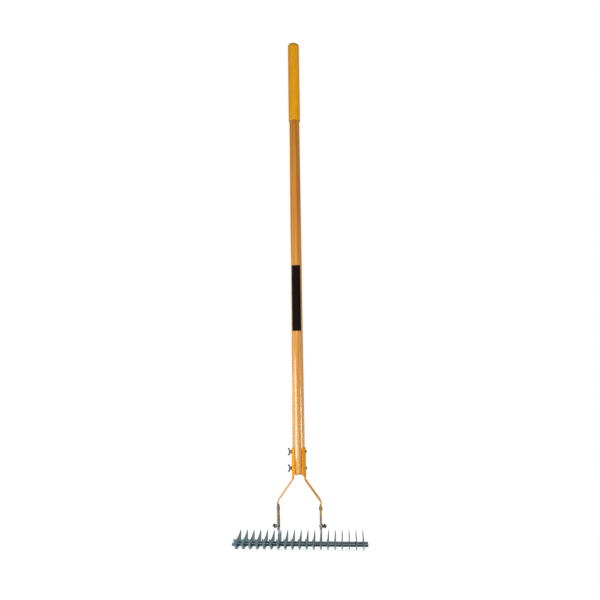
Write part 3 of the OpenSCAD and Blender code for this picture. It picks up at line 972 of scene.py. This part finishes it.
def bolts():
    for node in HANDLE_BOLTS:
        low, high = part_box(node)
        seat = high.x - HEAD_H
        bm = bolt(seat - low.x, 0)
        bm.transform(Matrix.Translation((seat, 0, middle(node)[2])) @ along_x(-1))
        dress(node, bm)
    for side, name in ((1, "right"), (-1, "left")):
        node = name + "_lock_bolt"
        low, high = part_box(node)
        tip = high.x if side > 0 else -low.x
        seat = (low.x if side > 0 else -high.x) + HEAD_H
        bm = bolt(tip - seat, NECK_LEN + SEAT_GAP)
        bm.transform(Matrix.Translation((side * seat, 0, LOCK_Z)) @ along_x(side))
        dress(node, bm)


def washers():
    line = filleted([
        (BOLT_BORE, WASHER_T / 2, 0), (BOLT_BORE, 0, WASHER_EDGE), (WASHER_D / 2, 0, WASHER_EDGE),
        (WASHER_D / 2, WASHER_T, WASHER_EDGE), (BOLT_BORE, WASHER_T, WASHER_EDGE),
        (BOLT_BORE, WASHER_T / 2, 0),
    ])[:-1]
    for node in sorted(name for name in SLOT_OF if name.endswith("_washer")):
        low_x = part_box(node)[0].x
        place = Matrix.Translation((low_x, 0, middle(node)[2])) @ along_x()
        dress(node, lathe(line, SIDES, place, closed=True))


def wing_outline():
    """A wing in its radius and height, from inside the hub to its round tip."""
    tip = Vector((WING_SPAN / 2 - WING_TIP_R, WING_H - WING_TIP_R))
    root = Vector((HUB_TOP_D / 4 + BOLT_FIT, HUB_H / 2))
    lean = math.atan2(tip.y - root.y, tip.x - root.x)
    across = Vector((-math.sin(lean), math.cos(lean)))
    waist = root.lerp(tip, WING_WAIST)
    points = [root - ROOT_HALF_W * across, waist - WAIST_HALF_W * across]
    points += arc(tip, WING_TIP_R, lean - math.pi / 2, lean + math.pi / 2, WING_TIP_STEPS)
    points += [waist + WAIST_HALF_W * across, root + ROOT_HALF_W * across]
    return [tuple(p) for p in points]


def wing_nut_mesh():
    """A wing nut that stands on z = 0, with its wings along X."""
    hub = filleted([
        (BOLT_BORE, HUB_H / 2, 0), (BOLT_BORE, 0, HUB_BORE_EDGE), (HUB_D / 2, 0, HUB_FOOT_EDGE),
        (HUB_TOP_D / 2, HUB_H, HUB_EDGE), (BOLT_BORE, HUB_H, HUB_TOP_BORE_EDGE),
        (BOLT_BORE, HUB_H / 2, 0),
    ])[:-1]
    parts = [lathe(hub, SIDES, closed=True)]
    clear_r = BOLT_BORE + WING_CLEAR
    for turn in (0, math.pi):
        wing = plate(wing_outline(), [], WING_T, WING_EDGE, WING_EDGE_STEPS)
        wing.transform(Matrix.Rotation(turn, 4, "Z") @ Matrix.Rotation(math.pi / 2, 4, "X"))
        clear = lathe([(0, -HUB_H), (clear_r, -HUB_H), (clear_r, WING_H * 2), (0, WING_H * 2)], SIDES)
        parts.append(fused([wing, clear], "DIFFERENCE"))
    return fused(parts)


def wing_nuts():
    for node in sorted(name for name in SLOT_OF if name.endswith("_wing_nut")):
        low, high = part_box(node)
        side = 1 if low.x > 0 else -1
        foot = low.x if side > 0 else high.x
        turn = side * LOCK_NUT_TURN if "lock" in node else 0
        bm = wing_nut_mesh()
        place = Matrix.Translation((foot, 0, middle(node)[2])) @ along_x(side)
        bm.transform(place @ Matrix.Rotation(turn, 4, "Z"))
        dress(node, bm)


def rivets():
    for node in ("left_pivot_rivet", "right_pivot_rivet"):
        low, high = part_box(node)
        upper_z = high.x - low.x - RIVET_HEAD_H
        upper = dome_rings(RIVET_HEAD_D, RIVET_HEAD_H, upper_z, 1)
        lower = dome_rings(RIVET_HEAD_D, RIVET_HEAD_H, RIVET_HEAD_H, -1)
        neck = [(RIVET_R, RIVET_HEAD_H), (RIVET_R, upper_z)]
        place = Matrix.Translation((low.x, 0, PIVOT_Z)) @ along_x()
        dress(node, lathe(lower + neck + upper[::-1], SIDES, place))


# Head

def crescent_arcs():
    """The lower side from the front tip to the rear one, and the hollow edge back, in Y and Z."""
    half = BLADE_SPAN / 2
    belly_r = (half ** 2 + TIP_H ** 2) / (2 * TIP_H)
    hollow = TIP_H - BLADE_WEB
    hollow_r = (half ** 2 + hollow ** 2) / (2 * hollow)
    reach = half - TIP_BLUNT
    belly_a = math.acos(reach / belly_r)
    hollow_a = math.asin(reach / hollow_r)
    down = 1.5 * math.pi
    belly = arc((0, belly_r), belly_r, math.pi + belly_a, down, ARC_STEPS // 2)
    heel = arc((reach - HEEL_R, HEEL_R), HEEL_R, down, 2 * math.pi, ARC_STEPS // 3)
    top = arc((0, BLADE_WEB + hollow_r), hollow_r, down + hollow_a, down - hollow_a, ARC_STEPS)
    return belly + heel, top


def rod_holes():
    holes = []
    for node in RODS:
        low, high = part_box(node)
        holes.append(circle(middle(node)[1:], (high.z - low.z) / 2 + ROD_FIT))
    return holes


def slot_reach():
    """Angle from the middle of an arm's slot to the centre of its round end."""
    return TILT + math.asin(BOLT_R / (LOCK_DROP - BOLT_R))


def circle_meet(start, way, radius):
    """Where a line from a point outside a circle round the origin first meets it."""
    a = way.length_squared
    b = start.dot(way)
    c = start.length_squared - radius ** 2
    return start + way * (-b - math.sqrt(b * b - a * c)) / a


def arm_line():
    """The right-hand side of a carrier's arm from its neck up, then over the top to the left."""
    rim = SLOT_HALF_W + SLOT_RIM
    end_y = LOCK_DROP * math.sin(slot_reach()) + rim
    end_z = PIVOT_Z - LOCK_DROP * math.cos(slot_reach())
    neck_y = ARM_NECK / 2
    start = Vector((end_y, end_z - PIVOT_Z))
    meet = circle_meet(start, Vector((ARM_SHOULDER - end_y, PIVOT_Z - end_z)), ARM_ROUND)
    right = filleted([
        (neck_y, BLADE_WEB, 0), (neck_y, LOCK_Z - rim, ARM_FILLET),
        (end_y, end_z - SLOT_HALF_W, ARM_FILLET), (end_y, end_z, ARM_FILLET),
        (meet.x, meet.y + PIVOT_Z, 0),
    ], ARM_FILLET_STEPS)[1:-1]
    angle = math.atan2(meet.y, meet.x)
    top = arc((0, PIVOT_Z), ARM_ROUND, angle, math.pi - angle, ARM_TOP_STEPS)
    return right + top + [(-y, z) for y, z in reversed(right)]


def slot_outline():
    """The arc-shaped slot of an arm."""
    pivot = (0, PIVOT_Z)
    low = -math.pi / 2 - slot_reach()
    high = -math.pi / 2 + slot_reach()
    left_end, right_end = [
        (LOCK_DROP * math.cos(a), PIVOT_Z + LOCK_DROP * math.sin(a)) for a in (low, high)
    ]
    outer = arc(pivot, LOCK_DROP + SLOT_HALF_W, low, high, SLOT_STEPS)
    inner = arc(pivot, LOCK_DROP - SLOT_HALF_W, high, low, SLOT_STEPS)
    right = arc(right_end, SLOT_HALF_W, high, high + math.pi, SLOT_END_STEPS)[1:-1]
    left = arc(left_end, SLOT_HALF_W, low + math.pi, low + 2 * math.pi, SLOT_END_STEPS)[1:-1]
    return outer + right + inner + left


def carrier_outline():
    """A blade with an arm that rises from its hollow edge."""
    belly, top = crescent_arcs()
    neck_y = ARM_NECK / 2
    right = [p for p in top if p[0] > neck_y + NECK_GAP]
    left = [p for p in top if p[0] < -neck_y - NECK_GAP]
    at_neck = min(top, key=lambda p: abs(p[0] - neck_y))[1]
    return belly + right + [(neck_y, at_neck)] + arm_line() + [(-neck_y, at_neck)] + left


def thin_tips(bm):
    """Thins a blade's horns towards their tips; the blade lies flat, with Y and Z as its X and Y."""
    everything = bm.verts[:] + bm.edges[:] + bm.faces[:]
    bmesh.ops.bisect_plane(bm, geom=everything, plane_co=(0, THIN_FROM_Z, 0), plane_no=(0, 1, 0))
    for vert in bm.verts:
        if abs(vert.co.x) > THIN_FROM_Y and THIN_FROM_Z < vert.co.y <= TIP_H:
            share = (vert.co.y - THIN_FROM_Z) / (TIP_H - THIN_FROM_Z)
            vert.co.z *= 1 - share * (1 - TIP_T / BLADE_T)


def blades():
    belly, top = crescent_arcs()
    for node in BLADES:
        top_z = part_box(node)[1].z
        if top_z > PIVOT_Z:
            holes = rod_holes() + [slot_outline(), circle((0, PIVOT_Z), RIVET_BORE)]
            bm = plate(carrier_outline(), holes, BLADE_T, BLADE_EDGE)
        else:
            bm = plate(belly + top, rod_holes(), BLADE_T, BLADE_EDGE)
        thin_tips(bm)
        bm.transform(Matrix.Translation((middle(node)[0], 0, 0)) @ STAND)
        dress(node, bm)


def rods():
    for node in RODS:
        low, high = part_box(node)
        radius = (high.z - low.z) / 2
        length = high.x - low.x
        line = filleted([
            (0, 0, 0), (radius, 0, ROD_CHAMFER), (radius, length, ROD_CHAMFER), (0, length, 0),
        ])
        place = Matrix.Translation((low.x, *middle(node)[1:])) @ along_x()
        dress(node, lathe(line, SLIM_SIDES, place))


# Studio

FLOOR_SIZE = 12.0
FLOOR_COLOUR = (0.8, 0.8, 0.8)
FLOOR_GLOW = 0.88
SHADE_SHARE = 0.22
SHADE_NEAR = 0.3
SHADE_FAR = 0.9
AMBIENT = 0.24

# A lamp is (name, place, target, size, watts)
LAMPS = [
    ("key", (-0.79, -0.93, 0.32), (0, 0, 0.32), (0.72, 0.6), 11.3),
    ("side", (1.96, -1.0, 0.23), (0, 0, 0.23), (0.5, 0.44), 7.2),
    ("fill", (0.6, -2.6, 1.7), (0, 0, 1.0), (2.4, 1.6), 28),
    ("top", (0.2, 0.4, 3.2), (0, 0, 0), (1.8, 1.8), 24),
    ("back", (-0.7, 2.8, 1.3), (0, 0, 0.8), (2.4, 1.8), 26),
]


def seen_ray(tree):
    """1 for rays that the camera, a reflection or a clear surface sends, and 0 for light."""
    rays = tree.nodes.new("ShaderNodeLightPath").outputs
    total = rays["Is Camera Ray"]
    for name in ("Is Glossy Ray", "Is Transmission Ray"):
        most = tree.nodes.new("ShaderNodeMath")
        most.operation = "MAXIMUM"
        tree.links.new(total, most.inputs[0])
        tree.links.new(rays[name], most.inputs[1])
        total = most.outputs[0]
    return total


def floor_finish():
    """Keeps the soft shadow round the object, and is plain white further off."""
    finish = Finish("floor")
    tree = finish.tree
    tree.nodes.remove(finish.shader)
    plain = finish.add("ShaderNodeBsdfDiffuse", {"Color": (*FLOOR_COLOUR, 1)}).outputs[0]
    white = finish.add("ShaderNodeEmission", {"Strength": 1.0}).outputs[0]
    glow = finish.add("ShaderNodeEmission", {"Strength": FLOOR_GLOW}).outputs[0]
    shade_colour = [SHADE_SHARE * c for c in FLOOR_COLOUR] + [1]
    shade = finish.add("ShaderNodeBsdfDiffuse", {"Color": shade_colour}).outputs[0]
    reach = finish.add("ShaderNodeVectorMath", {0: finish.place}, operation="LENGTH").outputs["Value"]
    near = finish.add("ShaderNodeAddShader", {0: glow, 1: shade}).outputs[0]
    far = finish.spread(reach, 0.0, 1.0, SHADE_NEAR, SHADE_FAR)
    seen = finish.add("ShaderNodeMixShader", {0: far, 1: near, 2: white}).outputs[0]
    surface = finish.add("ShaderNodeMixShader", {0: seen_ray(tree), 1: plain, 2: seen}).outputs[0]
    tree.links.new(surface, tree.nodes["Material Output"].inputs["Surface"])
    return finish.material


def floor():
    half = FLOOR_SIZE / 2
    mesh = bpy.data.meshes.new("floor")
    corners = [(-half, -half, 0), (half, -half, 0), (half, half, 0), (-half, half, 0)]
    mesh.from_pydata(corners, [], [(0, 1, 2, 3)])
    mesh.materials.append(floor_finish())
    obj = bpy.data.objects.new("floor", mesh)
    bpy.context.scene.collection.objects.link(obj)
    obj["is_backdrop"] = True


def world():
    """White where it is seen, and a soft even light elsewhere."""
    sky = bpy.data.worlds.new("studio")
    bpy.context.scene.world = sky
    sky.use_nodes = True
    tree = sky.node_tree
    ambient = tree.nodes["Background"]
    ambient.inputs["Color"].default_value = (1, 1, 1, 1)
    ambient.inputs["Strength"].default_value = AMBIENT
    white = tree.nodes.new("ShaderNodeBackground")
    white.inputs["Color"].default_value = (1, 1, 1, 1)
    choose = tree.nodes.new("ShaderNodeMixShader")
    tree.links.new(seen_ray(tree), choose.inputs[0])
    tree.links.new(ambient.outputs[0], choose.inputs[1])
    tree.links.new(white.outputs[0], choose.inputs[2])
    tree.links.new(choose.outputs[0], tree.nodes["World Output"].inputs["Surface"])


def lamp(name, place, target, size, watts):
    data = bpy.data.lights.new(name, "AREA")
    data.shape = "RECTANGLE"
    data.size, data.size_y = size
    data.energy = watts
    obj = bpy.data.objects.new(name, data)
    obj.location = place
    obj.rotation_euler = (Vector(target) - Vector(place)).to_track_quat("-Z", "Y").to_euler()
    bpy.context.scene.collection.objects.link(obj)


def studio():
    floor()
    world()
    for values in LAMPS:
        lamp(*values)
    bpy.context.scene.view_settings.view_transform = "Standard"


def camera():
    data = bpy.data.cameras.new("camera")
    data.sensor_fit = "HORIZONTAL"
    data.sensor_width = SENSOR_MM
    data.lens = FOCAL_PX * SENSOR_MM / IMAGE_W
    obj = bpy.data.objects.new("camera", data)
    look = Euler((CAMERA_PITCH, CAMERA_ROLL, CAMERA_YAW), "ZXY").to_matrix()
    level = Matrix.Rotation(math.pi / 2, 3, "X")
    obj.matrix_world = Matrix.Translation(CAMERA_PLACE) @ (look @ level).to_4x4()
    bpy.context.scene.collection.objects.link(obj)
    bpy.context.scene.camera = obj


def write_sizes():
    boxes = {"cad": CAD_BOX, "visual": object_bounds()}
    plain = {name: [list(corner) for corner in box] for name, box in boxes.items()}


handle()
grip()
label()
straps()
bolts()
washers()
wing_nuts()
rivets()
rods()
blades()
studio()
camera()
write_sizes()
